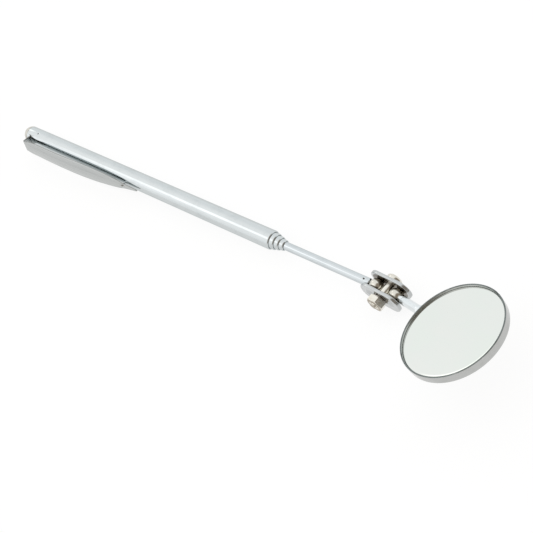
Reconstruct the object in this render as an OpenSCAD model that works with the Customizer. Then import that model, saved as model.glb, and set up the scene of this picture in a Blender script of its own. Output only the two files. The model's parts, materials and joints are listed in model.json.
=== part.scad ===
// Pocket telescoping inspection mirror: a tube handle with a pocket clip, three sliding tubes
// and a rod, a clamp that grips two balls between two plates, and a round mirror in a cup.
// X runs forward along the tubes, Z is the side that the mirror faces and the nut is on -Y.
// The origin is the centre of the handle tube's front rim. All lengths are in millimetres.

/* [Tubes] */
// Outer diameter of the handle tube
tube_d = 7; // [6.8:0.1:7.4]
// Length of the handle tube
tube_len = 129; // [128:1:140]
// Wall thickness of every tube
wall = 0.35; // [0.3:0.01:0.36]
// Drop in diameter from one tube to the next
step_d = 1; // [0.96:0.02:1.04]
// How far each tube stands out of the next larger one when it is pushed home
step_out = 1.75; // [1.5:0.05:2.4]

/* [Pocket clip] */
// Angle of the clip round the tube, from +Z towards -Y
clip_angle = 74; // [45:1:90]
// Thickness of the clip's sheet
clip_sheet = 0.5; // [0.4:0.05:0.6]
// Half width of the clip at its widest
clip_half_w = 3.65; // [3:0.05:4]

/* [Swivel joint] */
// Distance from the handle's front rim to the centre of the rod's ball
ball_1_x = 41.7; // [38:0.1:44]
// Diameter of each ball
ball_d = 5; // [4.8:0.1:5.1]
// Distance between the centres of the two balls
ball_gap = 8.8; // [8.7:0.1:10]
// Clear gap between the two clamp plates
plate_gap = 4.3; // [4.2:0.05:4.4]
// Thickness of each clamp plate
plate_t = 1.2; // [1:0.1:1.3]
// Radius of each rounded end of a plate
plate_end_r = 4; // [3.9:0.1:4.4]
// Upward tilt of the clamp from the rod, in degrees
clamp_pitch = 14; // [0:0.5:30]
// Sideways turn of the clamp from the rod, in degrees
clamp_yaw = -8; // [-8:0.1:8]

/* [Mirror] */
// Outer diameter of the mirror cup
cup_d = 32.9; // [32.9:0.1:36]
// Height of the mirror cup
cup_h = 2.9; // [2.6:0.1:3.4]
// Diameter of the mirror glass, a standard 1 1/4 inch disc
glass_d = 31.75; // [31:0.05:31.8]
// Thickness of the mirror glass
glass_t = 1.4; // [1:0.1:1.7]
// Distance from the centre of the mirror's ball to the wall of the cup
stem_len = 13.8; // [13:0.1:18]
// Upward tilt of the stem from the clamp, in degrees
stem_pitch = 12.4; // [0:0.1:30]
// Sideways turn of the stem from the clamp, in degrees
stem_yaw = -7.8; // [-8:0.1:8]

/* [Hidden] */
$fn = 64;
eps = 0.01;           // overlap that keeps a cut clean
run = 0.03;           // radial clearance of a running fit

// Tubes: tube 1 is the handle, tubes 2 to 4 slide, and tube 5 is the rod
rod_n = 5;
lip_len = 1.2;        // length of each rolled-in front lip
lip_round = 0.4;      // radius of the lip's rounded front edge
rod_round = 0.25;     // radius of the rod's rounded front edge
plug_len = 8;         // length of the end plug's shank
nest_gap = 0.5;       // free space behind each sliding tube when pushed home
flange_t = 1.5;       // thickness of a rear bush's flange
bush_len = 4;         // length of a rear bush's shank
spring_len = 5;       // length of a friction spring sleeve
spring_slot = 0.6;    // width of the slot in a friction spring
spring_gap = 0.2;     // free space between a bush's flange and the friction spring
bush_hole = 0.35;     // a bush's vent hole, as a share of its tube's bore
home_pitch = flange_t + bush_len + 1.5;   // from one tube's rear end to the next one's
rod_reach = 30;       // how far the rod is drawn out of its home place
function tube_od(n) = tube_d - (n - 1) * step_d;
function bore_r(n) = tube_od(n) / 2 - wall;
function tube_front(n) = (n - 1) * step_out;
function tube_back(n) = -tube_len + plug_len + nest_gap + flange_t + (n - 2) * home_pitch
    + (n == rod_n ? rod_reach : 0);

// Crimps: small dimples pressed through a tube's wall into a groove of the part inside
crimp_r = 0.45;       // radius of the round pit that a crimp leaves outside
crimp_nose_r = 0.34;  // radius of the nose that it pushes inside
crimp_in = 0.3;       // how far a crimp's nose stands inside the wall
crimp_pit = 0.25;     // depth of the pit
groove_w = 1.4;       // width of the groove that a crimp enters
plug_crimp_x = -tube_len + 5.9;
stud_crimp = 4.4;     // distance of a stud's crimp from its ball centre

// Pocket clip, in a frame with X along the tube and Z straight out through the clip
clip_rear = -tube_len + 2;
clip_tip = -62.5;
clip_root_z = 6.9;    // height of the bend between the clip's tab and its strip
clip_slot_play = 0.2; // clearance round the clip's tab in its slot
clip_tab_half_w = 2.4;
clip_tab_in = 1.6;    // distance of the tab's inner end from the tube's axis
clip_touch_x = -70;  // where the clip's dimple comes down to the tube
clip_touch_r = 0.35;  // radius of the dimple at its tip
clip_touch_root_r = 1.1;
clip_touch_h = 1.6;
clip_touch_gap = 0.05;
clip_tip_half_w = 0.08;
// Outer face of the clip: place along the tube and distance from the tube's axis
clip_rise = [[-125, 7.05], [-119, 7.2], [-112, 7.3], [-105, 7.3], [-98, 7.15], [-92, 6.9],
    [-86, 6.55], [-80, 6.1], [-75, 5.7], [-70, 5.3], [-65, 4.9], [clip_tip, 4.8]];
// Outline of the clip: place along the tube and half width, as a share of the widest
clip_plan = [[-125.4, 0.66], [-123.5, 0.8], [-120.5, 0.89], [-117, 0.93], [-110, 0.95], [-104, 0.97],
    [-97, 1], [-92.5, 1], [-87, 0.95], [-81.5, 0.85], [-76, 0.69], [-72, 0.52], [-69, 0.33], [-65, 0.18],
    [-63.5, 0.12]];

// Swivel joint
ball_r = ball_d / 2;
neck_r = 1;
shank_r = tube_od(rod_n) / 2 - wall - run;
shank_len = 5.5;      // length of a stud's shank inside its tube
rod_sleeve = 2.3;     // distance from the rod's ball centre to the front end of the rod
stem_sleeve = 2.9;    // distance from the mirror's ball centre to the stem
plate_in = plate_gap / 2;
plate_out = plate_in + plate_t;
dome_r = 1.75;        // radius of a plate's pressed dome where it rises from the plate
dimple_r = sqrt(plate_out * plate_out + dome_r * dome_r);
bolt_r = 1.5;         // M3 bolt
bolt_hole_r = 1.6;
head_r = 2.8;
head_h = 2.4;
head_edge_h = 1.2;    // height of the straight edge under the head's dome
head_slot_w = 0.7;
head_slot_d = 1;
washer_r = 2.5;
washer_t = 0.5;
washer_split = 0.4;
nut_af = 5.5;
nut_h = 2.4;
bolt_end = plate_out + washer_t + nut_h + 0.5;

// Mirror head, in a frame with X along the stem and Z out of the mirror's face
stem_d = tube_od(rod_n);
stem_chamfer = 0.3;
stem_drop = 1.38;     // depth of the stem's axis below the cup's rim
foot_spread = 11;     // half angle of the stem's foot round the cup
foot_t = 0.6;
foot_inset = 0.35;    // distance of the foot's edges from the cup's back and rim
foot_overcut = 1.5;   // the cut to the cup's round wall takes this much off the stem's end
blind_gap = 0.5;      // free space between the stud's end and the bottom of the stem's bore
cup_r = cup_d / 2;
cup_wall = 0.5;
cup_floor = 0.5;
cup_bend = 0.6;       // radius of the cup's lower edge
rim_round = 0.2;
pad_t = 0.3;
pad_inset = 0.35;
glass_bevel = 0.2;
arc_steps = 4;

// Moves a shape from the clamp's frame, which has its origin at the rod's ball
module at_clamp() {
    translate([ball_1_x, 0, 0]) rotate([0, -clamp_pitch, clamp_yaw]) children();
}

// Moves a shape from the stem's frame, which has its origin at the mirror's ball
module at_stem() {
    at_clamp() translate([ball_gap, 0, 0]) rotate([0, -stem_pitch, 0]) rotate([0, 0, stem_yaw])
        children();
}

// Moves a shape from the cup's frame, which has its origin at the centre of the cup's rim
module at_cup() {
    at_stem() translate([stem_len + cup_r, 0, stem_drop]) children();
}

// Turns the profile [radius, place along X] about the X axis
module turned(profile) {
    rotate([0, 90, 0]) rotate_extrude() polygon(profile);
}

// Turns a shape about the tube's axis into the clip's frame
module at_clip() {
    rotate([clip_angle, 0, 0]) children();
}

// Quarter circle from the face to the side, for a rounded outer edge
function edge_round(r, x, radius) = [for (i = [0 : arc_steps])
    let (a = 90 * i / arc_steps) [r - radius + radius * cos(a), x - radius + radius * sin(a)]];

// Tube from x_back to x_front, with a rolled-in lip that runs on lip_r
module lipped_tube(r, x_back, x_front, lip_r) {
    turned(concat(
        [[r - wall, x_back], [r, x_back]],
        edge_round(r, x_front, lip_round),
        [[lip_r, x_front], [lip_r, x_front - lip_len], [r - wall, x_front - lip_len - wall]]
    ));
}

// Sliding tube n, pushed home
module section_tube(n) {
    color([0.86, 0.88, 0.89])
        lipped_tube(tube_od(n) / 2, tube_back(n), tube_front(n), tube_od(n + 1) / 2 + run);
}

// Flanged bush pressed into the rear end of tube n; its flange guides the tube in the next one
module rear_bush(n) {
    hole = bore_r(n) * bush_hole;
    x = tube_back(n);
    color([0.78, 0.64, 0.34]) turned([
        [hole, x - flange_t], [bore_r(n - 1) - run, x - flange_t], [bore_r(n - 1) - run, x],
        [bore_r(n), x], [bore_r(n), x + bush_len], [hole, x + bush_len]
    ]);
}

// Slotted friction spring round the rear end of tube n
module friction_spring(n) {
    inner = tube_od(n) / 2 + eps;
    outer = bore_r(n - 1) - run;
    x = tube_back(n) + spring_gap;
    color([0.72, 0.5, 0.3]) difference() {
        turned([[inner, x], [outer, x], [outer, x + spring_len], [inner, x + spring_len]]);
        translate([x - 1, -spring_slot / 2, 0]) cube([spring_len + 2, spring_slot, outer + 1]);
    }
}

// Pits that crimps leave outside a tube of radius r at x, on its +Z and -Z sides
module crimp_pits(x, r) {
    for (side = [-1, 1])
        translate([x, 0, side * (r + crimp_r - crimp_pit)]) sphere(crimp_r, $fn = 24);
}

// Noses that crimps push out of a tube's wall into its bore at x
module crimp_noses(x, bore) {
    for (side = [-1, 1])
        translate([x, 0, side * (bore - crimp_in + crimp_nose_r)]) sphere(crimp_nose_r, $fn = 24);
}

// Slot that the clip's tab passes through, as cut in the tube and in the plug
module clip_slot() {
    at_clip() translate([clip_rear - clip_slot_play, -clip_tab_half_w - 0.1, clip_tab_in - 0.1])
        cube([clip_sheet + 2 * clip_slot_play, 2 * clip_tab_half_w + 0.2, tube_d]);
}

module handle_tube() {
    color([0.86, 0.88, 0.89]) {
        difference() {
            lipped_tube(tube_d / 2, -tube_len, 0, tube_od(2) / 2 + run);
            crimp_pits(plug_crimp_x, tube_d / 2);
            clip_slot();
        }
        crimp_noses(plug_crimp_x, bore_r(1));
    }
}

// Domed plug in the rear end of the handle tube
module end_plug() {
    groove_r = bore_r(1) - crimp_in - 0.1;   // clear of the crimp's nose
    color([0.84, 0.83, 0.79]) difference() {
        turned(concat(
            [for (i = [0 : 12]) let (a = 90 * i / 12)
                [tube_d / 2 * sin(a), -tube_len - tube_d / 2 * cos(a)]],
            [[bore_r(1), -tube_len], [bore_r(1), plug_crimp_x - groove_w / 2],
                [groove_r, plug_crimp_x - groove_w / 2], [groove_r, plug_crimp_x + groove_w / 2],
                [bore_r(1), plug_crimp_x + groove_w / 2], [bore_r(1), plug_len - tube_len],
                [0, plug_len - tube_len]]
        ));
        clip_slot();
    }
}

// Side view of the clip: the bowed strip and the tab that turns down into the tube's end
module clip_side() {
    last = len(clip_rise) - 1;
    inside = clip_rear + clip_sheet;
    polygon(concat(
        [[clip_rear, clip_tab_in], [clip_rear, clip_root_z]],
        clip_rise,
        [for (i = [last : -1 : 0]) clip_rise[i] - [0, clip_sheet]],
        [[inside, clip_root_z - clip_sheet], [inside, clip_tab_in]]
    ));
}

// Top view of the clip's outline
module clip_outline() {
    root = [[clip_rear - 1, clip_tab_half_w], [clip_plan[0][0], clip_tab_half_w]];
    tip = [[clip_tip, clip_tip_half_w]];
    half = concat(root, [for (p = clip_plan) if (p[0] > clip_plan[0][0]) [p[0], p[1] * clip_half_w]], tip);
    polygon(concat(half, [for (i = [len(half) - 1 : -1 : 0]) [half[i][0], -half[i][1]]]));
}

module pocket_clip() {
    color([0.78, 0.79, 0.78]) at_clip() {
        intersection() {
            translate([0, clip_half_w + 1, 0]) rotate([90, 0, 0])
                linear_extrude(2 * clip_half_w + 2) clip_side();
            linear_extrude(tube_d + 1) clip_outline();
        }
        // Pressed dimple that touches the tube
        translate([clip_touch_x, 0, tube_d / 2 + clip_touch_gap])
            cylinder(r1 = clip_touch_r, r2 = clip_touch_root_r, h = clip_touch_h, $fn = 32);
    }
}

module section_2_tube() { section_tube(2); }
module section_3_tube() { section_tube(3); }
module section_4_tube() { section_tube(4); }
module section_2_bush() { rear_bush(2); }
module section_3_bush() { rear_bush(3); }
module section_4_bush() { rear_bush(4); }
module section_2_spring() { friction_spring(2); }
module section_3_spring() { friction_spring(3); }
module section_4_spring() { friction_spring(4); }
module rod_bush() { rear_bush(rod_n); }
module rod_spring() { friction_spring(rod_n); }

// Rod: the innermost tube, crimped round the shank of the rod's ball stud
module rod_tube() {
    r = tube_od(rod_n) / 2;
    front = ball_1_x - rod_sleeve;
    crimp_x = ball_1_x - stud_crimp;
    color([0.88, 0.9, 0.92]) {
        difference() {
            turned(concat(
                [[bore_r(rod_n), tube_back(rod_n)], [r, tube_back(rod_n)]],
                edge_round(r, front, rod_round),
                [[bore_r(rod_n), front]]
            ));
            crimp_pits(crimp_x, r);
        }
        crimp_noses(crimp_x, bore_r(rod_n));
    }
}

// Ball on a grooved shank along -X, which enters its tube at the distance start from the ball's centre
module ball_stud(start) {
    groove_r = shank_r - crimp_in - 0.1;   // clear of the crimp's nose
    end = start + shank_len;
    color([0.8, 0.77, 0.7]) {
        sphere(ball_r);
        turned([
            [0, 0], [neck_r, 0], [neck_r, -start], [shank_r, -start],
            [shank_r, -stud_crimp + groove_w / 2], [groove_r, -stud_crimp + groove_w / 2],
            [groove_r, -stud_crimp - groove_w / 2], [shank_r, -stud_crimp - groove_w / 2],
            [shank_r, -end], [0, -end]
        ]);
    }
}

module rod_ball_stud() {
    translate([ball_1_x, 0, 0]) ball_stud(rod_sleeve);
}

// Clamp plate on the +Y side (side = 1) or the -Y side (side = -1) of the two balls, with a
// pressed dimple and a socket for each ball and a hole for the bolt
module plate(side) {
    color([0.8, 0.82, 0.82]) difference() {
        union() {
            rotate([side > 0 ? -90 : 90, 0, 0]) translate([0, 0, plate_in]) linear_extrude(plate_t) {
                for (x = [0, ball_gap]) translate([x, 0]) circle(plate_end_r);
                translate([0, -plate_end_r]) square([ball_gap, 2 * plate_end_r]);
            }
            for (x = [0, ball_gap]) intersection() {
                translate([x, 0, 0]) sphere(dimple_r);
                translate([x - dimple_r, side > 0 ? plate_in : -plate_in - dimple_r, -dimple_r])
                    cube([2 * dimple_r, dimple_r, 2 * dimple_r]);
            }
        }
        for (x = [0, ball_gap]) translate([x, 0, 0]) sphere(ball_r + run);
        translate([ball_gap / 2, 0, 0]) rotate([side > 0 ? -90 : 90, 0, 0])
            cylinder(r = bolt_hole_r, h = plate_out + 1);
    }
}

module near_plate() {
    at_clamp() plate(-1);
}

module far_plate() {
    at_clamp() plate(1);
}

// Moves a shape that stands along Z to the bolt's axis, with Z towards the head
module at_bolt() {
    at_clamp() translate([ball_gap / 2, 0, 0]) rotate([-90, 0, 0]) children();
}

module clamp_bolt() {
    color([0.8, 0.76, 0.68]) at_bolt() {
        rotate([180, 0, 0]) translate([0, 0, -plate_out])
            cylinder(r = bolt_r, h = plate_out + bolt_end);
        difference() {
            rotate_extrude() polygon(concat(
                [[0, plate_out], [head_r, plate_out]],
                [for (i = [0 : 8]) let (a = 90 * i / 8)
                    [head_r * cos(a), plate_out + head_edge_h + (head_h - head_edge_h) * sin(a)]]
            ));
            translate([-head_r - 1, -head_slot_w / 2, plate_out + head_h - head_slot_d])
                cube([2 * head_r + 2, head_slot_w, head_h]);
        }
    }
}

// Split lock washer under the nut
module lock_washer() {
    color([0.55, 0.52, 0.47]) at_bolt() translate([0, 0, -plate_out - washer_t]) difference() {
        cylinder(r = washer_r, h = washer_t);
        translate([0, 0, -1]) cylinder(r = bolt_hole_r, h = washer_t + 2);
        translate([0, -washer_split / 2, -1]) cube([washer_r + 1, washer_split, washer_t + 2]);
    }
}

module clamp_nut() {
    color([0.82, 0.78, 0.7]) at_bolt() translate([0, 0, -plate_out - washer_t - nut_h]) difference() {
        cylinder(r = nut_af / 2 / cos(30), h = nut_h, $fn = 6);
        translate([0, 0, -1]) cylinder(r = bolt_r + run, h = nut_h + 2);
    }
}

module mirror_ball_stud() {
    at_stem() rotate([0, 0, 180]) ball_stud(stem_sleeve);
}

// Stem: a sleeve round the stud's shank that ends in a curved foot on the wall of the cup
module mirror_stem() {
    r = stem_d / 2;
    blind_end = stem_sleeve + shank_len + blind_gap;
    past_wall = stem_len + foot_overcut;
    color([0.86, 0.88, 0.89]) at_stem() {
        difference() {
            union() {
                turned([
                    [r - stem_chamfer, stem_sleeve], [r, stem_sleeve + stem_chamfer], [r, past_wall],
                    [0, past_wall], [0, blind_end], [shank_r + run, blind_end],
                    [shank_r + run, stem_sleeve]
                ]);
                translate([stem_len + cup_r, 0, stem_drop - cup_h + foot_inset])
                    rotate([0, 0, 180 - foot_spread]) rotate_extrude(angle = 2 * foot_spread)
                        translate([cup_r - foot_overcut, 0])
                            square([foot_t + foot_overcut, cup_h - 2 * foot_inset]);
            }
            crimp_pits(stud_crimp, r);
            translate([stem_len + cup_r, 0, -r - 1]) cylinder(r = cup_r, h = 2 * r + 2);
        }
        crimp_noses(stud_crimp, shank_r + run);
    }
}

module mirror_cup() {
    inner = cup_r - cup_wall;
    color([0.84, 0.85, 0.84]) at_cup() rotate_extrude() polygon(concat(
        [[0, -cup_h], [cup_r - cup_bend, -cup_h]],
        [for (i = [1 : arc_steps]) let (a = 90 * i / arc_steps)
            [cup_r - cup_bend + cup_bend * sin(a), -cup_h + cup_bend - cup_bend * cos(a)]],
        [[cup_r, -rim_round], [cup_r - rim_round, 0], [inner + rim_round / 2, 0],
            [inner, -rim_round / 2], [inner, cup_floor - cup_h], [0, cup_floor - cup_h]]
    ));
}

module backing_pad() {
    color([0.2, 0.2, 0.2]) at_cup() translate([0, 0, cup_floor - cup_h])
        cylinder(r = glass_d / 2 - pad_inset, h = pad_t);
}

module mirror_glass() {
    top = cup_floor - cup_h + pad_t + glass_t;
    color([0.88, 0.92, 0.88]) at_cup() rotate_extrude() polygon([
        [0, top - glass_t], [glass_d / 2, top - glass_t], [glass_d / 2, top - glass_bevel],
        [glass_d / 2 - glass_bevel, top], [0, top]
    ]);
}

handle_tube();
end_plug();
pocket_clip();
section_2_tube();
section_2_bush();
section_2_spring();
section_3_tube();
section_3_bush();
section_3_spring();
section_4_tube();
section_4_bush();
section_4_spring();
rod_tube();
rod_bush();
rod_spring();
rod_ball_stud();
near_plate();
far_plate();
clamp_bolt();
lock_washer();
clamp_nut();
mirror_ball_stud();
mirror_stem();
mirror_cup();
backing_pad();
mirror_glass();
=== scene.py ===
"""Looks of the telescoping inspection mirror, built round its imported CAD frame.

Shapes are written in millimetres in the frame of the piece that they belong to, and a Matrix turns
them into the object's own frame in metres. Joints and mounts of the record give those frames.
"""

import json
import math

import bmesh
import bpy
from mathutils import Matrix, Vector


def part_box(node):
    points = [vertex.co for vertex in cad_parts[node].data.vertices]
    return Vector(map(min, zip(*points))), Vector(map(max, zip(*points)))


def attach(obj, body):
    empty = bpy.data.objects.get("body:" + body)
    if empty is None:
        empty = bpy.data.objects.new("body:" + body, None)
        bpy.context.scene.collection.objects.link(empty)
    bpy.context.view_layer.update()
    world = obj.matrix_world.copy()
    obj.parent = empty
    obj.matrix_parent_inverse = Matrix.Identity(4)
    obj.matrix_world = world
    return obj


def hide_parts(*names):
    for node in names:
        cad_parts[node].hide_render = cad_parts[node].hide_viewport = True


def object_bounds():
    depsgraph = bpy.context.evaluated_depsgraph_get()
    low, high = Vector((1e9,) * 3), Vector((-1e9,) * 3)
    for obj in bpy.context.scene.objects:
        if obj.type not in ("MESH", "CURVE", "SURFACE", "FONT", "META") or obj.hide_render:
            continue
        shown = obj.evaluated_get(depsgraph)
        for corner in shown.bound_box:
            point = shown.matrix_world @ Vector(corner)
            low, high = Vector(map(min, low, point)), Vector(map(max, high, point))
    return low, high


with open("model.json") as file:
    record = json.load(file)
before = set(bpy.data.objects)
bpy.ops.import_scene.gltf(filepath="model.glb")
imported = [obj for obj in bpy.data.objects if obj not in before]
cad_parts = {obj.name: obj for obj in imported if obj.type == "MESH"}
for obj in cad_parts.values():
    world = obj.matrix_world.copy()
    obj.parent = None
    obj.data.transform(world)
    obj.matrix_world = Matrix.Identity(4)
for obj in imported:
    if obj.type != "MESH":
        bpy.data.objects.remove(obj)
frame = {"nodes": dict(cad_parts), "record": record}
cad_low, cad_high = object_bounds()
record = frame["record"]
joints = {joint["name"]: joint for joint in record["behaviour"]["joints"]}
mounts = {mount["name"]: mount for mount in record["mounts"]}

MM = 0.001

# Tubes: tube 1 is the handle and tube 5 is the rod
TUBE_RADII = [3.5, 3.0, 2.5, 2.0, 1.5]
WALL = 0.35
LIP_LEN = 1.2
RUN = 0.03                # clearance between parts that slide or turn in each other
BEAD_LEN = 0.5            # length of a lip's rounded front
NOSE = 0.12               # chamfer between a tube's front and its mouth
EDGE = 0.12               # radius of a small rounded edge
PLUG_LEN = 8

# Crimps, a pair of pressed dots on the +Z and -Z sides, over a groove in the part inside
CRIMP_SIDES = (math.pi / 2, 3 * math.pi / 2)
CRIMP_DEPTH = 0.32
CRIMP_RADIUS = 0.42
CRIMP_REACH = 1.6         # where the dent ends, in crimp radii
CRIMP_FADE = 2.2          # how steeply the dent's depth falls off
CRIMP_ROW = 0.07          # radius of the crimp's bottom that is coloured with painted shade
PIT_RADIUS = 0.3          # radius of the dull bottom of a crimp
PLUG_CRIMP = 5.9          # distance of the plug's crimp from the handle tube's rear end
STUD_CRIMP = 4.4          # distance of a stud's crimp from its ball centre
GROOVE_HALF_W = 0.7       # half the width of the groove
PLUG_GROOVE = CRIMP_DEPTH + 0.25      # depth of the groove in the plug
STUD_GROOVE = 0.4         # depth of the groove in a stud's shank

# Pocket clip, with X along the tube and Z straight out through the clip
CLIP_ANGLE = 74
CLIP_SHEET = 0.5
CLIP_HALF_W = 3.65
CLIP_TAB_IN = 1.6         # height of the tab's inner end over the tube's axis
CLIP_TAB_HALF_W = 2.4
CLIP_ROOT = 7.0           # outer height of the bend between the tab and the strip
CLIP_BEND = 0.9
CLIP_SLOT_PLAY = 0.2
CLIP_SLOT_EDGE = 0.05     # rounding of the slot's edges
CLIP_TOUCH_DEPTH = 1.22   # how far the dimple is pressed in
CLIP_CROWN = 0.5          # how much lower the clip's long edges are than its middle
CLIP_CROWN_RUN = 6        # length over which the crown builds up from the root
CLIP_TOUCH = -70          # where the clip's dimple comes down to the tube
CLIP_TOUCH_SPREAD = 0.45  # square of the radius where the dimple has lost two thirds of its depth
# Height of the clip's outer face, and its half width as a share of the widest, by place along the tube
CLIP_RISE = [[-125, 7.05], [-119, 7.2], [-112, 7.3], [-105, 7.3], [-98, 7.15], [-92, 6.9],
             [-86, 6.55], [-80, 6.1], [-75, 5.7], [-70, 5.3], [-65, 4.9], [-62.5, 4.8]]
CLIP_PLAN = [[-127, 0.66], [-125.4, 0.68], [-123.5, 0.8], [-120.5, 0.89], [-117, 0.93], [-110, 0.95],
             [-104, 0.97], [-97, 1], [-92.5, 1], [-87, 0.95], [-81.5, 0.85], [-76, 0.69], [-72, 0.52],
             [-69, 0.33], [-65, 0.18], [-63.5, 0.12], [-62.5, 0.03]]

# Swivel joint
BALL_R = 2.5
NECK_R = 1.0
SHANK_R = 1.12
SHANK_LEN = 5.5
ROD_SLEEVE = 2.3          # distance from a ball's centre to the tube that holds its stud
STEM_SLEEVE = 2.9
PLATE_IN = 2.15
PLATE_OUT = 3.35
PLATE_END_R = 4.0
PLATE_EDGE = 0.3          # radius of the plates' rounded edges
DOME_R = 2.1
DOME_H = 0.5
DOME_SLOPE = 1.5          # width of the slope round a dome
UNSHADED_RIM = 1.0        # width of the border on the inner face of a plate that is left out of the painted shade
BOLT_R = 1.5
BOLT_HOLE_R = 1.6
BOLT_PITCH = 0.5
BOLT_TIP = 0.5            # how far the bolt stands out of the nut
THREAD_DEPTH = 0.18
LEAD_IN = 0.3             # length of the bolt's tapered end
LEAD_DROP = 0.22          # how much smaller the bolt's radius is at its very end
HEAD_R = 2.8
HEAD_H = 2.4
HEAD_EDGE_H = 1.2         # height of the straight edge under the head's dome
HEAD_SLOT_W = 0.7
HEAD_SLOT_D = 1.0
HEAD_SLOT_EDGE = 0.06     # rounding of the slot's edges
WASHER_R = 2.5
WASHER_T = 0.5            # room for the washer between plate and nut
WASHER_WIRE = 0.42        # thickness of the washer itself
WASHER_SET = 0.07         # how much one end of the washer stands over the other
WASHER_GAP = 0.4
NUT_AF = 5.5
NUT_H = 2.4
NUT_FACE = 0.95           # diameter of the nut's round faces, as a share of its width across flats
NUT_CHAMFER = 28          # slope of the chamfered corners, in degrees
NUT_MOUTH_R = 1.85        # radius of the countersink at the ends of the hole
NUT_MOUTH_D = 0.25        # depth of that countersink
NUT_RIDGE = 0.05          # how far the thread in the nut rises and falls
BOLT_END = PLATE_OUT + WASHER_T + NUT_H + BOLT_TIP

# Mirror head, with X along the stem and Z out of the mirror's face
STEM_LEN = 13.8
FOOT_FLARE = 1.0
FOOT_LEN = 1.6
FOOT_THIN = 0.28          # how much nearer the foot's flat sides are to its middle
FOOT_DROP = 0.06          # how far the foot's middle lies under the stem's
CUP_R = 16.45
CUP_H = 2.9
CUP_WALL = 0.5
CUP_FLOOR = 0.5
CUP_ROUND = 0.63          # reach of the drawn corner round the cup's floor
PAD_T = 0.3
GLASS_R = 15.875
GLASS_T = 1.4
GLASS_BEVEL = 0.08

# Table, in metres
TABLE_HALF = 1.5
TABLE_GAP = 0.0002        # space between the table and the lowest point of the object

# Room: a pale tent with patches, each with its azimuth and elevation, its half angle, the angle where it
# has faded out, and its tone
TENT_TONE = (1.06, 1.08, 1.09)
TENT_PATCHES = ((68, 28, 50, 70, (0.33, 0.29, 0.25)),
                (-58, 46, 10, 60, (1.24, 1.24, 1.24)),
                (-57, 48, 2, 15, (1.7, 1.7, 1.71)),
                (-53, 28, 2, 13, (1.4, 1.4, 1.42)),
                (-108, 27, 5, 10, (1.65, 1.65, 1.62)))


def axes(origin, x, y, z):
    """Matrix from millimetres in a piece's frame to metres in the object's frame."""
    turn = Matrix((x, y, z)).transposed()
    return Matrix.Translation(origin) @ turn.to_4x4() @ Matrix.Scale(MM, 4)


ball_1 = Vector(joints["clamp_swing"]["pos_m"])
ball_2 = Vector(joints["mirror_swing"]["pos_m"])
BALL_GAP = (ball_2 - ball_1).length / MM
clamp_x = (ball_2 - ball_1).normalized()
clamp_y = -Vector(joints["clamp_swing"]["axis"])
stem_x = Vector(joints["mirror_swivel"]["axis"])
mirror_z = -Vector(mounts["mirror_back"]["axis"])

X, Y, Z = Vector((1, 0, 0)), Vector((0, 1, 0)), Vector((0, 0, 1))
clip_turn = math.radians(CLIP_ANGLE)
TUBE = axes(Vector(), X, Y, Z)
CLIP = axes(Vector(), X, Vector((0, math.cos(clip_turn), math.sin(clip_turn))),
            Vector((0, -math.sin(clip_turn), math.cos(clip_turn))))
CLAMP = axes(ball_1, clamp_x, clamp_y, clamp_x.cross(clamp_y))
# The bolt's own axis is X here, towards its head
BOLT = axes(ball_1 + clamp_x * BALL_GAP * MM / 2, clamp_y, clamp_x.cross(clamp_y), clamp_x)
ROD_BALL = axes(ball_1, -X, -Y, Z)
STEM = axes(ball_2, stem_x, mirror_z.cross(stem_x), mirror_z)
CUP = axes(Vector(mounts["mirror_back"]["pos_m"]) + mirror_z * CUP_H * MM,
           stem_x, mirror_z.cross(stem_x), mirror_z)


# ---------------------------------------------------------------- materials

def node(tree, kind, **values):
    """Adds a shader node. Keys name its properties, or its inputs where they start with in_."""
    made = tree.nodes.new("ShaderNode" + kind)
    for key, value in values.items():
        if key.startswith("in_"):
            made.inputs[key[3:].replace("_", " ")].default_value = value
        else:
            setattr(made, key, value)
    return made


def feed(tree, socket, value):
    """Puts a number or a colour on a socket, or links another node's output to it."""
    if isinstance(value, bpy.types.NodeSocket):
        tree.links.new(value, socket)
    elif isinstance(value, tuple):
        socket.default_value = (*value, 1)
    else:
        socket.default_value = value


def ramp(tree, source, low, high, start=0.35, end=0.65):
    """Turns a noise into values from low to high."""
    step = node(tree, "MapRange", interpolation_type="SMOOTHSTEP")
    for name, value in (("Value", source), ("From Min", start), ("From Max", end), ("To Min", low),
                        ("To Max", high)):
        feed(tree, step.inputs[name], value)
    return step.outputs["Result"]


def noise(tree, place, scale, stretch, detail):
    """Noise with features about 1/scale metres across, drawn out where stretch is under 1."""
    mapping = node(tree, "Mapping", in_Scale=stretch)
    tree.links.new(place, mapping.inputs["Vector"])
    made = node(tree, "TexNoise", in_Scale=scale, in_Detail=detail)
    tree.links.new(mapping.outputs["Vector"], made.inputs["Vector"])
    return made.outputs["Fac"]


def cells(tree, place, scale):
    """Distance from the middle of the nearest cell, with cells about 1/scale metres across."""
    made = node(tree, "TexVoronoi", in_Scale=scale)
    tree.links.new(place, made.inputs["Vector"])
    return made.outputs["Distance"]


def blend(tree, first, second, share, kind="MIX"):
    """Colour that goes from first to second as share goes from 0 to 1."""
    mix = node(tree, "Mix", data_type="RGBA", blend_type=kind)
    for name, value in (("A", first), ("B", second), ("Factor", share)):
        feed(tree, mix.inputs[name], value)
    return mix.outputs["Result"]


def combine(tree, operation, *parts):
    """Arithmetic on sockets and numbers."""
    made = node(tree, "Math", operation=operation)
    for socket, part in zip(made.inputs, parts):
        feed(tree, socket, part)
    return made.outputs[0]


def add_bump(tree, shader, height, strength, distance):
    """Tilts the shader's normal by a height, where a height of 1 is that distance in metres."""
    bump = node(tree, "Bump", in_Strength=strength, in_Distance=distance)
    tree.links.new(height, bump.inputs["Height"])
    tree.links.new(bump.outputs["Normal"], shader.inputs["Normal"])


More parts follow.
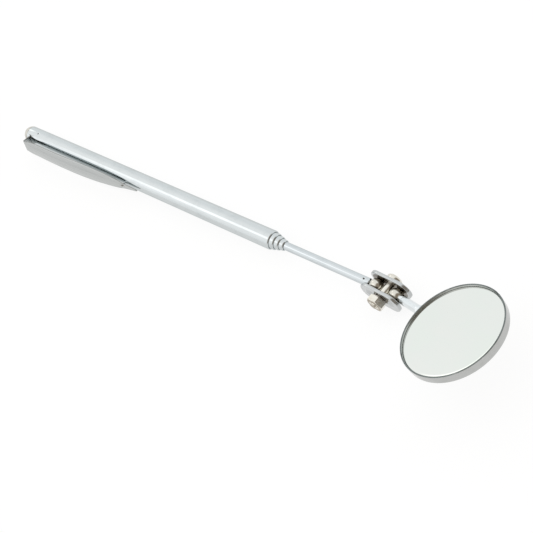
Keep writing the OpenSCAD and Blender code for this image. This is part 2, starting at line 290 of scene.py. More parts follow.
def new_material(name):
    """Material with its node tree, its shader and the object's own coordinates."""
    made = bpy.data.materials.new(name)
    made.use_nodes = True
    tree = made.node_tree
    return made, tree, tree.nodes["Principled BSDF"], node(tree, "TexCoord").outputs["Object"]


def metal(name, colour, stain, roughness, grain=(0.03, 1, 1), grain_scale=5000, grain_bump=0.02,
          haze=0.08, dent_bump=0.0, edge_tint=None, specks=True, streaks=(0.6, 1, 1)):
    """Plated metal: drawn grain, hazy patches, faint stains, pits and slightly worn edges."""
    made, tree, shader, place = new_material(name)
    shader.inputs["Metallic"].default_value = 1.0
    if edge_tint:
        shader.inputs["Specular Tint"].default_value = (*edge_tint, 1)

    lines = noise(tree, place, grain_scale, grain, 2.0)
    patches = noise(tree, place, 260, streaks, 4.0)
    smudges = noise(tree, place, 900, streaks, 5.0)
    waves = noise(tree, place, 420, (0.5, 1, 1), 1.0)

    blotches = combine(tree, "MULTIPLY", ramp(tree, patches, 0.0, 1.0, 0.4, 0.72),
                       ramp(tree, smudges, 0.25, 1.0))
    stained = blend(tree, colour, stain, blotches)
    worn = ramp(tree, node(tree, "NewGeometry").outputs["Pointiness"], 0.0, 0.5, 0.52, 0.6)
    feed(tree, shader.inputs["Base Color"], blend(tree, stained, (0.25, 0.25, 0.24), worn, "SCREEN"))

    drawn = ramp(tree, lines, roughness * 0.75, roughness * 1.3)
    hazy = ramp(tree, smudges, 0.0, haze, 0.5, 0.75)
    feed(tree, shader.inputs["Roughness"], combine(tree, "ADD", drawn, hazy))

    height = combine(tree, "MULTIPLY_ADD", lines, grain_bump, combine(tree, "MULTIPLY", waves, dent_bump))
    if specks:
        pits = ramp(tree, cells(tree, place, 900), -0.02, 0.0, 0.02, 0.07)
        height = combine(tree, "ADD", height, pits)
    add_bump(tree, shader, height, 1.0, 0.0001)
    return made


def mirror_silver():
    """Silvered back of float glass seen through it: nearly perfect, with faint dust and wipe marks."""
    made, tree, shader, place = new_material("mirror_silver")
    shader.inputs["Metallic"].default_value = 1.0
    shader.inputs["Coat Weight"].default_value = 0.4
    shader.inputs["Coat Roughness"].default_value = 0.01
    wipes = noise(tree, place, 120, (0.4, 1, 1), 4.0)
    dust = ramp(tree, cells(tree, place, 600), 0.1, 0.0, 0.0, 0.05)
    colour = blend(tree, (0.735, 0.77, 0.72), (0.75, 0.765, 0.725), ramp(tree, wipes, 0.0, 1.0))
    feed(tree, shader.inputs["Base Color"], colour)
    feed(tree, shader.inputs["Roughness"], combine(tree, "ADD", ramp(tree, wipes, 0.012, 0.03), dust))
    return made


def glass_edge():
    """Ground edge of the glass: dull and sea green, with a fine grind."""
    made, tree, shader, place = new_material("glass_edge")
    shader.inputs["IOR"].default_value = 1.52
    grind = noise(tree, place, 9000, (1, 1, 1), 2.0)
    feed(tree, shader.inputs["Base Color"], blend(tree, (0.48, 0.57, 0.53), (0.60, 0.69, 0.65), grind))
    feed(tree, shader.inputs["Roughness"], ramp(tree, grind, 0.25, 0.45))
    add_bump(tree, shader, grind, 0.5, 0.00003)
    return made


def foam():
    """Dark foam tape with open pores."""
    made, tree, shader, place = new_material("pad_foam")
    pores = cells(tree, place, 3500)
    depth = ramp(tree, pores, 0.0, 1.0, 0.1, 0.5)
    feed(tree, shader.inputs["Base Color"], blend(tree, (0.02, 0.02, 0.02), (0.07, 0.07, 0.07), depth))
    feed(tree, shader.inputs["Roughness"], ramp(tree, pores, 0.95, 0.75, 0.1, 0.5))
    add_bump(tree, shader, pores, 0.6, 0.0001)
    return made


CHROME = metal("tube_chrome", (0.605, 0.635, 0.64), (0.55, 0.58, 0.585), 0.07, grain_bump=0.012,
               dent_bump=0.12, edge_tint=(0.80, 0.82, 0.82))
ROD = metal("rod_chrome", (0.60, 0.635, 0.65), (0.54, 0.575, 0.59), 0.06, grain_bump=0.012,
            dent_bump=0.08, edge_tint=(0.80, 0.82, 0.82))
PLUG = metal("plug_nickel", (0.58, 0.565, 0.52), (0.51, 0.49, 0.44), 0.16, grain=(1, 1, 1),
             grain_scale=2500, grain_bump=0.05)
CLIP_STEEL = metal("clip_steel", (0.49, 0.505, 0.50), (0.36, 0.375, 0.37), 0.2, grain=(0.012, 1, 1),
                   grain_scale=3000, grain_bump=0.04, haze=0.06, specks=False, streaks=(0.03, 1.6, 1.6))
PLATE = metal("plate_chrome", (0.51, 0.525, 0.525), (0.445, 0.455, 0.45), 0.13, grain=(1, 1, 1),
              grain_scale=1800, grain_bump=0.03, haze=0.10, dent_bump=0.25, specks=False)
BOLT_METAL = metal("bolt_nickel", (0.72, 0.70, 0.64), (0.60, 0.56, 0.48), 0.14, grain=(1, 1, 1),
                   grain_scale=2600, grain_bump=0.025, haze=0.10, specks=False)
# Painted shade: dark tan for the end faces of bolt and nut on the nut's side, which face away from the
# light
END_FACE_SHADE = metal("painted_end_shade", (0.38, 0.33, 0.26), (0.27, 0.23, 0.17), 0.3, grain=(1, 1, 1),
                       grain_scale=2600, grain_bump=0.05, haze=0.10, specks=False)
WASHER = metal("washer_steel", (0.40, 0.37, 0.33), (0.27, 0.24, 0.20), 0.25, grain=(1, 1, 1),
               grain_scale=3000, grain_bump=0.08)
BALL = metal("ball_nickel", (0.66, 0.64, 0.58), (0.56, 0.53, 0.46), 0.09, grain=(1, 1, 1),
             grain_scale=3000, grain_bump=0.012, specks=False)
STEM_CHROME = metal("stem_chrome", (0.74, 0.77, 0.78), (0.67, 0.70, 0.71), 0.08, grain_bump=0.012)
CUP_CHROME = metal("cup_chrome", (0.485, 0.49, 0.48), (0.43, 0.435, 0.42), 0.12, grain=(1, 1, 0.05),
                   grain_scale=3500, grain_bump=0.03, haze=0.06)
# Painted shade: dark brown for the plates' inner faces, where shade falls between the plates
PLATE_INSIDE_SHADE = metal("plate_inside_painted_shade", (0.17, 0.15, 0.125), (0.12, 0.105, 0.085), 0.25, grain=(1, 1, 1),
                     grain_scale=2200, grain_bump=0.03, haze=0.12, specks=False)
SHEARED = metal("sheared_edge", (0.30, 0.30, 0.29), (0.20, 0.20, 0.19), 0.3, grain=(0.1, 1, 1),
                grain_scale=5000, grain_bump=0.05, haze=0.1, specks=False)
# Painted shade: near black for the bottoms of crimps and for stud necks in their tubes' shadow
RECESS_SHADE = metal("painted_recess_shade", (0.10, 0.095, 0.09), (0.05, 0.045, 0.04), 0.4, grain=(1, 1, 1), grain_scale=6000)
CUT_EDGE = metal("cut_edge", (0.17, 0.19, 0.185), (0.08, 0.09, 0.085), 0.3, grain=(1, 1, 0.2),
                 grain_scale=5000, grain_bump=0.08, haze=0.1)
BRASS = metal("bush_brass", (0.70, 0.52, 0.24), (0.52, 0.36, 0.15), 0.22, grain=(1, 0.05, 0.05))
BRONZE = metal("spring_bronze", (0.62, 0.38, 0.20), (0.45, 0.25, 0.12), 0.25, grain=(1, 0.1, 0.1))
SILVER = mirror_silver()
GLASS_EDGE = glass_edge()
FOAM = foam()


# ---------------------------------------------------------------- mesh helpers

def sweep(angle, steps):
    """Angles from 0 to the given one in equal steps."""
    return [angle * i / steps for i in range(steps + 1)]


def circle(radius, x, angles):
    """Loop of points round the X axis."""
    return [(x, radius * math.cos(a), radius * math.sin(a)) for a in angles]


def wavy_circle(x, angles, radius_at):
    """Loop of points round the X axis whose radius depends on the angle."""
    return [(x, radius_at(a) * math.cos(a), radius_at(a) * math.sin(a)) for a in angles]


def round_angles(count, fine_at=(), fine_half=0.0, fine_step=0.02):
    """Angles round a full turn, closer together near each angle in fine_at."""
    angles = {round(a, 6) for a in sweep(2 * math.pi, count)[:-1]}
    steps = int(fine_half / fine_step)
    for centre in fine_at:
        angles |= {round((centre + i * fine_step) % (2 * math.pi), 6) for i in range(-steps, steps + 1)}
    kept = []
    for angle in sorted(angles):
        if not kept or angle - kept[-1] > fine_step / 3:
            kept.append(angle)
    return kept


def soften(points, radius=EDGE, steps=4, ring=False):
    """Rounds each corner of a profile with a small curve."""
    made = []
    last = len(points) - 1
    for i, point in enumerate(points):
        here = Vector(point)
        if not ring and i in (0, last):
            made.append(tuple(here))
            continue
        before, after = Vector(points[i - 1]) - here, Vector(points[(i + 1) % (last + 1)]) - here
        if before.angle(-after, 0) < 0.2:
            made.append(tuple(here))
            continue
        reach = min(radius, before.length * 0.45, after.length * 0.45)
        a, b = here + before.normalized() * reach, here + after.normalized() * reach
        for k in range(steps + 1):
            t = k / steps
            made.append(tuple(a * (1 - t) ** 2 + here * 2 * t * (1 - t) + b * t ** 2))
    return made


def shade(mesh, sharp=40):
    """Smooth shading, with an edge only where the faces turn by more than that many degrees."""
    mesh.polygons.foreach_set("use_smooth", [True] * len(mesh.polygons))
    mesh.set_sharp_from_angle(angle=math.radians(sharp))


def in_scene(name, data):
    """Object with that mesh or camera, linked to the scene."""
    made = bpy.data.objects.new(name, data)
    bpy.context.scene.collection.objects.link(made)
    return made


def skin(name, loops, place, material, ring=False, caps=False, sharp=40):
    """Mesh through a row of loops with the same number of points, in the frame place."""
    shape = bmesh.new()
    rows = [[shape.verts.new(place @ Vector(p)) for p in loop] for loop in loops]
    pairs = list(zip(rows, rows[1:])) + ([(rows[-1], rows[0])] if ring else [])
    for one, two in pairs:
        for i in range(len(one)):
            k = (i + 1) % len(one)
            shape.faces.new((one[i], one[k], two[k], two[i]))
    if caps:
        shape.faces.new(list(reversed(rows[0])))
        shape.faces.new(rows[-1])
    bmesh.ops.remove_doubles(shape, verts=shape.verts, dist=1e-7)
    bmesh.ops.dissolve_degenerate(shape, edges=shape.edges, dist=1e-8)
    bmesh.ops.recalc_face_normals(shape, faces=shape.faces)
    mesh = bpy.data.meshes.new(name)
    shape.to_mesh(mesh)
    shape.free()
    shade(mesh, sharp)
    mesh.materials.append(material)
    return in_scene(name, mesh)


def turned(name, profile, place, material, count, sharp=40):
    """Turns a profile of [place along X, radius] about the X axis, with count points round it."""
    angles = round_angles(count)
    return skin(name, [circle(r, x, angles) for x, r in profile], place, material, sharp=sharp)


def coat(piece, material, chosen):
    """Gives another material to the faces that chosen says yes to."""
    piece.data.materials.append(material)
    slot = len(piece.data.materials) - 1
    for face in piece.data.polygons:
        if chosen(face):
            face.material_index = slot


def box_mesh(low, high, place):
    """Closed box between two corners, in the frame place, for cutting."""
    shape = bmesh.new()
    bmesh.ops.create_cube(shape, size=1.0)
    low, high = Vector(low), Vector(high)
    for vert in shape.verts:
        spot = Vector((low[i] + (vert.co[i] + 0.5) * (high[i] - low[i]) for i in range(3)))
        vert.co = place @ spot
    mesh = bpy.data.meshes.new("cutter")
    shape.to_mesh(mesh)
    shape.free()
    return mesh


def cut(piece, cutter_mesh, edge):
    """Cuts a closed mesh out of a piece and rounds the new edges."""
    cutter = in_scene("cutter", cutter_mesh)
    knife = piece.modifiers.new("cut", "BOOLEAN")
    knife.operation, knife.solver, knife.object = "DIFFERENCE", "EXACT", cutter
    soft = piece.modifiers.new("edge", "BEVEL")
    soft.width, soft.segments, soft.limit_method = edge * MM, 3, "ANGLE"
    soft.angle_limit = math.radians(50)
    graph = bpy.context.evaluated_depsgraph_get()
    mesh = bpy.data.meshes.new_from_object(piece.evaluated_get(graph))
    piece.modifiers.clear()
    old, piece.data = piece.data, mesh
    mesh.name = piece.name
    bpy.data.meshes.remove(old)
    bpy.data.objects.remove(cutter)
    shade(mesh)


def between(points, x):
    """Smooth curve through points of [x, value], by Catmull-Rom segments."""
    last = len(points) - 1
    for i in range(last):
        if x <= points[i + 1][0] or i == last - 1:
            break
    p1, p2 = points[i], points[i + 1]
    p0, p3 = points[max(i - 1, 0)], points[min(i + 2, last)]
    span = p2[0] - p1[0]
    t = min(max((x - p1[0]) / span, 0), 1)
    m1 = (p2[1] - p0[1]) / (p2[0] - p0[0]) * span
    m2 = (p3[1] - p1[1]) / (p3[0] - p1[0]) * span
    return ((2 * t ** 3 - 3 * t ** 2 + 1) * p1[1] + (t ** 3 - 2 * t ** 2 + t) * m1
            + (3 * t ** 2 - 2 * t ** 3) * p2[1] + (t ** 3 - t ** 2) * m2)


def finish_piece(piece, body, replaced):
    """Puts a piece on its moving body, in place of the CAD node that it shows."""
    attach(piece, body)
    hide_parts(replaced)


# ---------------------------------------------------------------- tubes

def dent(x, y, z, radius, crimp_x):
    """Moves a point of a tube inwards where the crimp on its +Z or -Z side is."""
    reach, far = math.hypot(x - crimp_x, y) / CRIMP_RADIUS, math.hypot(y, z)
    if reach >= CRIMP_REACH or far < radius - 2 * WALL:
        return x, y, z
    depth = CRIMP_DEPTH * math.exp(-CRIMP_FADE * reach * reach)
    return x, y * (far - depth) / far, z * (far - depth) / far


def crimp_rows(crimp_x):
    """Places along a tube, close together across its crimp."""
    return [crimp_x + CRIMP_ROW * k for k in range(-10, 11)]


def along(start, end, crimp_x):
    """Places along a tube's wall, with those across its crimp if it has one."""
    rows = crimp_rows(crimp_x) if crimp_x is not None else []
    return [start] + [x for x in rows if start < x < end] + [end]


def tube(name, radius, back, front, lip_radius, material, crimp_x=None):
    """Thin tube with a rolled-in front lip, or an open front end where lip_radius is past its bore."""
    bore = radius - WALL
    mouth = min(lip_radius, bore)
    bead = radius - mouth - NOSE
    profile = [(x, radius) for x in along(back, front - BEAD_LEN, crimp_x)]
    profile += [(front - BEAD_LEN * (1 - math.sin(a)), radius - bead * (1 - math.cos(a)))
                for a in sweep(math.pi / 2, 10)[1:]]
    profile.append((front - NOSE, mouth))
    if lip_radius < bore:
        profile += [(front - LIP_LEN, mouth), (front - LIP_LEN - WALL, bore)]
    profile += [(x, bore) for x in reversed(along(back, front - LIP_LEN - 2 * WALL, crimp_x))]
    profile = soften(profile, ring=True)
    if crimp_x is None:
        angles = round_angles(128)
        return skin(name, [circle(r, x, angles) for x, r in profile], TUBE, material, ring=True)
    angles = round_angles(128, CRIMP_SIDES, CRIMP_REACH * CRIMP_RADIUS / radius, 0.06 / radius)
    loops = [[dent(*p, radius, crimp_x) for p in circle(r, x, angles)] for x, r in profile]
    made = skin(name, loops, TUBE, material, ring=True)
    shade_crimp_pits(made, crimp_x, radius)
    return made


def shade_crimp_pits(piece, crimp_x, radius):
    """Colours the bottoms of a tube's crimps near black: painted shade in the dents."""
    inwards = TUBE.inverted()

    def in_pit(face):
        x, y, z = inwards @ face.center
        return math.hypot(x - crimp_x, y) < PIT_RADIUS and math.hypot(y, z) > radius - 1.5 * CRIMP_DEPTH

    coat(piece, RECESS_SHADE, in_pit)


def node_span(name):
    """Lowest and highest X of a CAD node, in millimetres."""
    low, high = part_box(name)
    return low[0] / MM, high[0] / MM


def clip_slot_mesh():
    """Box that cuts the slot for the clip's tab."""
    side, low = CLIP_TAB_HALF_W + CLIP_SLOT_PLAY / 2, CLIP_TAB_IN - CLIP_SLOT_PLAY / 2
    return box_mesh((clip_rear - CLIP_SLOT_PLAY, -side, low),
                    (clip_rear + CLIP_SHEET + CLIP_SLOT_PLAY, side, CLIP_ROOT), CLIP)


clip_rear = node_span("pocket_clip")[0]
handle_back, handle_front = node_span("handle_tube")
handle = tube("handle_shell", TUBE_RADII[0], handle_back, handle_front, TUBE_RADII[1] + RUN, CHROME,
              handle_back + PLUG_CRIMP)
cut(handle, clip_slot_mesh(), CLIP_SLOT_EDGE)
finish_piece(handle, "handle", "handle_tube")

for number in (2, 3, 4):
    back, front = node_span(f"section_{number}_tube")
    piece = tube(f"section_{number}_shell", TUBE_RADII[number - 1], back, front,
                 TUBE_RADII[number] + RUN, CHROME)
    finish_piece(piece, f"section_{number}", f"section_{number}_tube")

rod_back, rod_front = node_span("rod_tube")
rod = tube("rod_shell", TUBE_RADII[4], rod_back, rod_front, TUBE_RADII[4], ROD,
           ball_1.x / MM - STUD_CRIMP)
finish_piece(rod, "rod", "rod_tube")

for section in ("section_2", "section_3", "section_4", "rod"):
    frame["nodes"][f"{section}_bush"].data.materials[0] = BRASS
    frame["nodes"][f"{section}_spring"].data.materials[0] = BRONZE


# ---------------------------------------------------------------- end plug

def plug():
    """Domed plug with a fine groove where it meets the tube."""
    radius = TUBE_RADII[0]
    bore = radius - WALL
    groove = bore - PLUG_GROOVE
    crimp = handle_back + PLUG_CRIMP
    dome = [(handle_back - 0.06 - radius * math.cos(a), radius * math.sin(a))
            for a in sweep(math.pi / 2, 24)[:-1]]
    # The dome's edge turns in a little before it meets the tube
    seam = [(handle_back - 0.1, radius - 0.02), (handle_back - 0.03, radius - 0.12), (handle_back, bore)]
    shank = [(crimp - GROOVE_HALF_W, bore), (crimp - GROOVE_HALF_W, groove),
             (crimp + GROOVE_HALF_W, groove), (crimp + GROOVE_HALF_W, bore),
             (handle_back + PLUG_LEN, bore), (handle_back + PLUG_LEN, 0)]
    profile = dome[:-1] + soften(dome[-1:] + seam + shank, 0.08, 3)
    made = turned("dome_plug", profile, TUBE, PLUG, 128)
    cut(made, clip_slot_mesh(), CLIP_SLOT_EDGE)
    return made


finish_piece(plug(), "handle", "end_plug")


# ---------------------------------------------------------------- pocket clip

def clip_line():
    """Places and outward directions along the clip's outer face, from the tab's end to the tip."""
    rear, corner, bend = clip_rear, CLIP_ROOT, CLIP_BEND
    line = [((rear, CLIP_TAB_IN + (corner - bend - CLIP_TAB_IN) * i / 8), (-1, 0)) for i in range(8)]
    for a in sweep(math.pi / 2, 8):
        line.append(((rear + bend - bend * math.cos(a), corner - bend + bend * math.sin(a)),
                     (-math.cos(a), math.sin(a))))
    start, tip = rear + bend, CLIP_RISE[-1][0]
    rise = [[start, corner]] + CLIP_RISE
    for i in range(1, 121):
        x = start + (tip - start) * (i / 120)
        ahead, behind = min(x + 0.05, tip), x - 0.05
        slope = (between(rise, ahead) - between(rise, behind)) / (ahead - behind)
        length = math.hypot(1, slope)
        line.append(((x, between(rise, x)), (-slope / length, 1 / length)))
    return line


def clip_section(half):
    """Outline of the flat strip's section: place across it and height over its outer face."""
    round_edge = min(CLIP_SHEET / 2, half * 0.5)
    over = [((half - round_edge) * (i / 16 - 1), 0.0) for i in range(33)]
    right = [(half - round_edge + round_edge * math.sin(a), CLIP_SHEET / 2 * (math.cos(a) - 1))
             for a in sweep(math.pi, 8)[1:-1]]
    under = [(y, -CLIP_SHEET) for y, _ in reversed(over)]
    left = [(-y, -CLIP_SHEET - height) for y, height in right]
    return over + right + under + left


def clip():
    """Bowed spring strip with a crowned face, round edges, a turned-down tab and a pressed dimple."""
    root = clip_rear + CLIP_BEND
    loops = []
    for (x, z), (out_x, out_z) in clip_line():
        half, crown, touch = CLIP_TAB_HALF_W, 0, 0
        if x >= root or out_z > 0.99:
            half = max(between(CLIP_PLAN, x), 0.02) * CLIP_HALF_W
            crown = CLIP_CROWN * min((x - root) / CLIP_CROWN_RUN, 1)
            touch = CLIP_TOUCH_DEPTH
        loop = []
        for y, height in clip_section(half):
            lift = height - crown * (y / CLIP_HALF_W) ** 2
            press = touch * math.exp(-((x - CLIP_TOUCH) ** 2 + y * y) / CLIP_TOUCH_SPREAD)
            loop.append((x + out_x * lift, y, z + out_z * (lift - press)))
        loops.append(loop)
    made = skin("spring_clip", loops, CLIP, CLIP_STEEL, caps=True, sharp=50)
    across, out = CLIP.col[1].to_3d().normalized(), CLIP.col[2].to_3d().normalized()
    # Painted light: the clip's underside gets the lighter tube chrome so that its reflection in the tube
    # shows brighter
    coat(made, CHROME, lambda face: face.normal.dot(out) < -0.6)
    coat(made, SHEARED, lambda face: face.material_index == 0 and abs(face.normal.dot(across)) > 0.7)
    return made


finish_piece(clip(), "clip", "pocket_clip")


# ---------------------------------------------------------------- swivel joint

def ball_stud(name, place, sleeve, body, replaced):
    """Ball, neck and grooved shank along +X, which enters its tube at the distance sleeve."""
    ball = [(-BALL_R * math.cos(a), BALL_R * math.sin(a))
            for a in sweep(math.pi - math.asin(NECK_R / BALL_R), 40)]
    groove = SHANK_R - STUD_GROOVE
    shank = [(sleeve, NECK_R), (sleeve, SHANK_R), (STUD_CRIMP - GROOVE_HALF_W, SHANK_R),
             (STUD_CRIMP - GROOVE_HALF_W, groove), (STUD_CRIMP + GROOVE_HALF_W, groove),
             (STUD_CRIMP + GROOVE_HALF_W, SHANK_R), (sleeve + SHANK_LEN, SHANK_R), (sleeve + SHANK_LEN, 0)]
    made = turned(name, ball[:-2] + soften(ball[-2:] + shank), place, BALL, 72)
    inwards = place.inverted()
    # Painted shade: the part of the stud that stands in its tube's shadow is coloured near black
    neck = max(sleeve - 0.4, math.sqrt(BALL_R ** 2 - NECK_R ** 2))
    coat(made, RECESS_SHADE, lambda face: (inwards @ face.center).x > neck)
    finish_piece(made, body, replaced)


ball_stud("rod_ball", ROD_BALL, ROD_SLEEVE, "rod_ball", "rod_ball_stud")
ball_stud("mirror_ball", STEM, STEM_SLEEVE, "mirror_ball", "mirror_ball_stud")


def plate_reach(angle):
    """Distance from the bolt's axis to the plate's edge in a direction: two round ends, joined."""
    half, c, s = BALL_GAP / 2, abs(math.cos(angle)), abs(math.sin(angle))
    if s > 0 and PLATE_END_R * c / s <= half:
        return PLATE_END_R / s
    return half * c + math.sqrt(PLATE_END_R ** 2 - (half * s) ** 2)


def rim_distance(x, z):
    """Distance inwards from the plate's edge, along the ray from the bolt's axis."""
    x -= BALL_GAP / 2
    return plate_reach(math.atan2(z, x)) - math.hypot(x, z)


def dish(x, z):
    """Distance from the nearer ball's centre line."""
    return min(math.hypot(x - BALL_GAP / 2, z), math.hypot(x + BALL_GAP / 2, z))


def smooth(t):
    """Rises softly from 0 to 1 as t does."""
    t = min(max(t, 0), 1)
    return t * t * (3 - 2 * t)


def outer_height(x, z):
    """Outer face of a plate: flat with a pressed dome over each ball."""
    return PLATE_OUT + DOME_H * smooth((DOME_R - dish(x, z)) / DOME_SLOPE)


def inner_height(x, z):
    """Inner face of a plate: flat with a round socket that clears each ball."""
    d = dish(x, z)
    ball = math.sqrt(max((BALL_R + RUN) ** 2 - d * d, 0))
    return max(PLATE_IN, ball)


def plate(name, side, replaced):
    """Pressed plate from the bolt's hole out to its rounded edge."""
    angles = sweep(2 * math.pi, 192)[:-1]
    shares = [i / 56 for i in range(57)]
    quarter = sweep(math.pi / 2, 5)

    def loop_at(share, inset, height):
        """Loop at a share of the way from the hole to the edge less inset, at the height of a face."""
        loop = []
        for a in angles:
            reach = BOLT_HOLE_R + (plate_reach(a) - inset - BOLT_HOLE_R) * share
            x, z = reach * math.cos(a), reach * math.sin(a)
            loop.append((x + BALL_GAP / 2, side * height(x, z), z))
        return loop

    loops = [loop_at(share, PLATE_EDGE, outer_height) for share in shares]
    loops += [loop_at(1, PLATE_EDGE * (1 - math.sin(a)),
                      lambda x, z: PLATE_OUT - PLATE_EDGE * (1 - math.cos(a))) for a in quarter[1:]]
    loops += [loop_at(1, PLATE_EDGE * (1 - math.cos(a)),
                      lambda x, z: PLATE_IN + PLATE_EDGE * (1 - math.sin(a))) for a in quarter]
    loops += [loop_at(share, PLATE_EDGE, inner_height) for share in reversed(shares)]
    made = skin(name, loops, CLAMP, PLATE, ring=True, sharp=50)
    inwards = CLAMP.inverted()

    def inside(face):
        x, y, z = inwards @ face.center
        return side * y < PLATE_OUT - PLATE_EDGE and rim_distance(x, z) > UNSHADED_RIM

    # Painted shade: the inner face, but for a border round its edge, is coloured dark brown
    coat(made, PLATE_INSIDE_SHADE, inside)
    finish_piece(made, "clamp", replaced)


plate("clamp_plate_near", -1, "near_plate")
plate("clamp_plate_far", 1, "far_plate")


def shade_end_faces(piece):
    """Colours the faces that look out along the bolt's end, on bolt and nut, dark tan: painted shade on
    faces turned from the light.
    """
    coat(piece, END_FACE_SHADE, lambda face: face.normal.dot(clamp_y) < -0.9)


def bolt_radius(x, angle):
    """Radius of the bolt's shank, threaded outside the plates, with a tapered end."""
    phase = (x / BOLT_PITCH - angle / (2 * math.pi)) % 1
    crest = 1 - abs(2 * phase - 1)
    depth = THREAD_DEPTH if x < -PLATE_IN else 0
    taper = 1 - min((x + BOLT_END) / LEAD_IN, 1)
    return BOLT_R - depth * (1 - smooth(crest * 1.15)) - LEAD_DROP * taper


def bolt():
    """Slotted round-head bolt with a real helical thread."""
    angles = sweep(2 * math.pi, 48)[:-1]
    length = PLATE_OUT + BOLT_END
    steps = int(length / (BOLT_PITCH / 8))
    loops = [circle(0, -BOLT_END, angles)]
    for i in range(steps + 1):
        x = length * i / steps - BOLT_END
        loops.append(wavy_circle(x, angles, lambda a: bolt_radius(x, a)))
    shoulder = PLATE_OUT + HEAD_EDGE_H
    head = [(PLATE_OUT, BOLT_R), (PLATE_OUT, HEAD_R), (shoulder, HEAD_R)]
    head += [(shoulder + (HEAD_H - HEAD_EDGE_H) * math.sin(a), HEAD_R * math.cos(a))
             for a in sweep(math.pi / 2, 16)[1:]]
    loops += [circle(r, x, angles) for x, r in soften(head, steps=3)]
    made = skin("slotted_bolt", loops, BOLT, BOLT_METAL)
    slot_low, half = PLATE_OUT + HEAD_H - HEAD_SLOT_D, HEAD_SLOT_W / 2
    cut(made, box_mesh((slot_low, -half, -3), (slot_low + 3, half, 3), BOLT), HEAD_SLOT_EDGE)
    shade_end_faces(made)
    return made


finish_piece(bolt(), "clamp", "clamp_bolt")


def washer():
    """Split lock washer with a slight helical set and square-ended gap."""
    low, hole = -PLATE_OUT - WASHER_T, BOLT_HOLE_R + 0.05
    corners = soften([(hole, 0), (WASHER_R, 0), (WASHER_R, WASHER_WIRE), (hole, WASHER_WIRE)],
                     0.08, 3, ring=True)
    gap = WASHER_GAP / 2 / WASHER_R
    loops = []
    for i in range(73):
        a = gap + (2 * math.pi - 2 * gap) * i / 72
        lift = WASHER_SET * i / 72
        loops.append([(low + lift + h, r * math.cos(a), r * math.sin(a)) for r, h in corners])
    return skin("split_washer", loops, BOLT, WASHER, caps=True)


finish_piece(washer(), "clamp", "lock_washer")


def hexagon(angle, across):
    """Distance from a hexagon's centre to its edge, with slightly rounded corners."""
    sharpness = 70
    sides = sum(max(math.cos(angle - math.radians(60 * k)), 0) ** sharpness for k in range(6))
    return across / 2 / sides ** (1 / sharpness)


def nut():
    """Hex nut with chamfered corners, a countersunk threaded hole and rounded edges."""
    angles = sweep(2 * math.pi, 216)[:-1]
    high = -PLATE_OUT - WASHER_T
    low = high - NUT_H
    hole, face_r = BOLT_R + RUN, NUT_AF / 2 * NUT_FACE
    slope = math.tan(math.radians(NUT_CHAMFER))

    def corner_ring(face, way, share):
        """Loop at a share of the way from a round face to the edge of the hexagon, down the chamfer."""
        loop = []
        for a in angles:
            radius = face_r + (hexagon(a, NUT_AF) - face_r) * share
            loop.append((face + way * (radius - face_r) * slope * (0.35 + 0.65 * share),
                         radius * math.cos(a), radius * math.sin(a)))
        return loop

    loops = [circle(r, low, angles) for r in (NUT_MOUTH_R, NUT_MOUTH_R + 0.25, face_r)]
    loops += [corner_ring(low, 1, k / 6) for k in range(1, 7)]
    loops += [corner_ring(high, -1, k / 6) for k in range(6, 0, -1)]
    loops += [circle(r, high, angles) for r in (face_r, NUT_MOUTH_R + 0.25, NUT_MOUTH_R)]
    for i in range(41):
        x = high - NUT_MOUTH_D - (NUT_H - 2 * NUT_MOUTH_D) * i / 40
        turn = 2 * math.pi * (x / BOLT_PITCH)
        loops.append(wavy_circle(x, angles, lambda a: hole + NUT_RIDGE * math.cos(turn - a)))
    made = skin("hex_nut", loops, BOLT, BOLT_METAL, ring=True, sharp=28)
    shade_end_faces(made)
    return made


finish_piece(nut(), "clamp", "clamp_nut")


# ---------------------------------------------------------------- mirror head

def stem():
    """Round stem with a bored end, a crimp and a foot that flares along the wall of the cup."""
    radius = TUBE_RADII[4]
    bore = SHANK_R + RUN
    blind = STEM_SLEEVE + SHANK_LEN + 0.5
    # Points lie closer together where the two crimps are
    angles = round_angles(96, CRIMP_SIDES, 0.45, 0.05)
    mouth = soften([(STEM_SLEEVE + 0.1, bore), (STEM_SLEEVE, radius - 0.05), (STEM_SLEEVE + 0.3, radius)],
                   0.1)
    inside = [(blind, 0), (blind, bore), (blind - 1, bore)] + mouth
    loops = [circle(r, x, angles) for x, r in inside]
    flare_start = STEM_LEN - FOOT_LEN
    places = [STEM_SLEEVE + 0.5] + crimp_rows(STUD_CRIMP) + [STUD_CRIMP + 1]
    places += [flare_start + FOOT_LEN * k / 16 for k in range(17)]
    for x in places:
        t = smooth((x - flare_start) / FOOT_LEN) ** 1.5
        loop = []
        for a in angles:
            y, z = (radius + FOOT_FLARE * t) * math.cos(a), (radius - FOOT_THIN * t) * math.sin(a)
            hollow = CUP_R - math.sqrt(CUP_R ** 2 - y * y)
            loop.append(dent(x + hollow * t, y, z - FOOT_DROP * t, radius, STUD_CRIMP))
        loops.append(loop)
    loops.append(circle(0, STEM_LEN - 0.1, angles))
    return skin("mirror_arm", loops, STEM, STEM_CHROME)


finish_piece(stem(), "mirror_head", "mirror_stem")

CUP_TURN = CUP @ Matrix.Rotation(-math.pi / 2, 4, "Y")     # its X axis is the mirror's normal
FROM_CUP = CUP_TURN.inverted()


def cup():
    """Drawn cup with a round corner and a cut edge that shows darker."""
    inside, wall = CUP_R - CUP_WALL, -1.2
    profile = ([(-CUP_H, 0)]
               + soften([(-CUP_H, CUP_R - 1.4), (-CUP_H, CUP_R), (wall, CUP_R)], CUP_ROUND, 8)
               + soften([(wall, CUP_R), (0, CUP_R), (0, inside), (CUP_FLOOR - CUP_H, inside),
                         (CUP_FLOOR - CUP_H, 0)])[1:])
    made = turned("metal_cup", profile, CUP_TURN, CUP_CHROME, 256)
    coat(made, CUT_EDGE,
         lambda face: face.normal.dot(mirror_z) > 0.5 and (FROM_CUP @ face.center).x > -0.3)
    return made


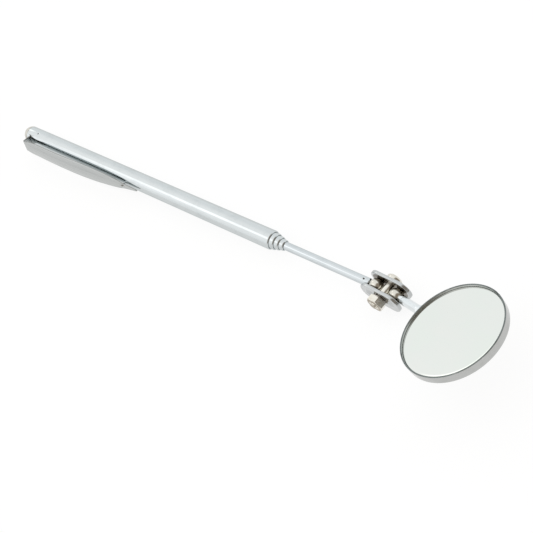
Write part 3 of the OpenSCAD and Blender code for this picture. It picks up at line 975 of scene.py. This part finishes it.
def glass():
    """Silvered disc with a fine ground bevel round its face."""
    low = CUP_FLOOR - CUP_H + PAD_T
    top = low + GLASS_T
    rim = [(low, GLASS_R - 1), (low, GLASS_R), (top - GLASS_BEVEL, GLASS_R), (top, GLASS_R - GLASS_BEVEL),
           (top, GLASS_R - 1)]
    made = turned("round_mirror", [(low, 0)] + soften(rim, 0.02, 2) + [(top, 0)], CUP_TURN, SILVER, 256,
                  sharp=25)
    coat(made, GLASS_EDGE,
         lambda face: (FROM_CUP @ face.center).yz.length > GLASS_R - GLASS_BEVEL - 0.01)
    return made


finish_piece(cup(), "mirror_head", "mirror_cup")
finish_piece(glass(), "mirror_head", "mirror_glass")
frame["nodes"]["backing_pad"].data.materials[0] = FOAM


# ---------------------------------------------------------------- floor, lights and camera

def floor():
    """Plain white table, large enough to fill the view."""
    shape = bmesh.new()
    bmesh.ops.create_grid(shape, x_segments=4, y_segments=4, size=TABLE_HALF)
    for vert in shape.verts:
        vert.co.z = cad_low.z - TABLE_GAP
    mesh = bpy.data.meshes.new("floor")
    shape.to_mesh(mesh)
    shape.free()
    made = in_scene("floor", mesh)
    paint, _, shader, _ = new_material("white_table")
    shader.inputs["Base Color"].default_value = (0.15, 0.15, 0.15, 1)
    shader.inputs["Roughness"].default_value = 0.9
    shader.inputs["Specular IOR Level"].default_value = 0.0
    shader.inputs["Emission Color"].default_value = (1, 1, 1, 1)
    shader.inputs["Emission Strength"].default_value = 0.88
    mesh.materials.append(paint)


def direction(azimuth, elevation):
    """Unit vector from the object to a viewer at these angles, in degrees."""
    a, e = math.radians(azimuth), math.radians(elevation)
    return Vector((math.sin(a) * math.cos(e), -math.cos(a) * math.cos(e), math.sin(e)))


def sky():
    """Pale studio tent with soft bright panels and a dark room behind its open side.

    The camera itself sees plain white past the floor's edge.
    """
    world = bpy.data.worlds.new("tent")
    world.use_nodes = True
    bpy.context.scene.world = world
    tree = world.node_tree
    place = node(tree, "TexCoord").outputs["Generated"]
    colour = TENT_TONE
    for azimuth, elevation, full, edge, tone in TENT_PATCHES:
        aim = node(tree, "VectorMath", operation="DOT_PRODUCT")
        tree.links.new(place, aim.inputs[0])
        aim.inputs[1].default_value = direction(azimuth, elevation)
        near = ramp(tree, aim.outputs["Value"], 0.0, 1.0, math.cos(math.radians(edge)),
                    math.cos(math.radians(full)))
        colour = blend(tree, colour, tone, near)
    seen = node(tree, "LightPath").outputs["Is Camera Ray"]
    feed(tree, tree.nodes["Background"].inputs["Color"], blend(tree, colour, (1.0, 1.0, 1.0), seen))


def camera(aim, azimuth, elevation, roll, distance, lens):
    """Camera that looks at aim from a distance, both in millimetres, at angles in degrees."""
    data = bpy.data.cameras.new("camera")
    data.lens, data.sensor_width = lens, 36
    data.clip_start, data.clip_end = 0.01, 10
    back = direction(azimuth, elevation)
    right = Vector((math.cos(math.radians(azimuth)), math.sin(math.radians(azimuth)), 0))
    level = Matrix((right, back.cross(right), back)).transposed()
    made = in_scene("camera", data)
    made.matrix_world = (Matrix.Translation(Vector(aim) * MM + back * distance * MM)
                         @ level.to_4x4() @ Matrix.Rotation(math.radians(roll), 4, "Z"))
    bpy.context.scene.camera = made


floor()
sky()
camera(aim=(3.46, -9.64, 0), azimuth=62.49, elevation=55.31, roll=-32.82, distance=284.5, lens=56.51)
bpy.context.scene.view_settings.view_transform = "Standard"
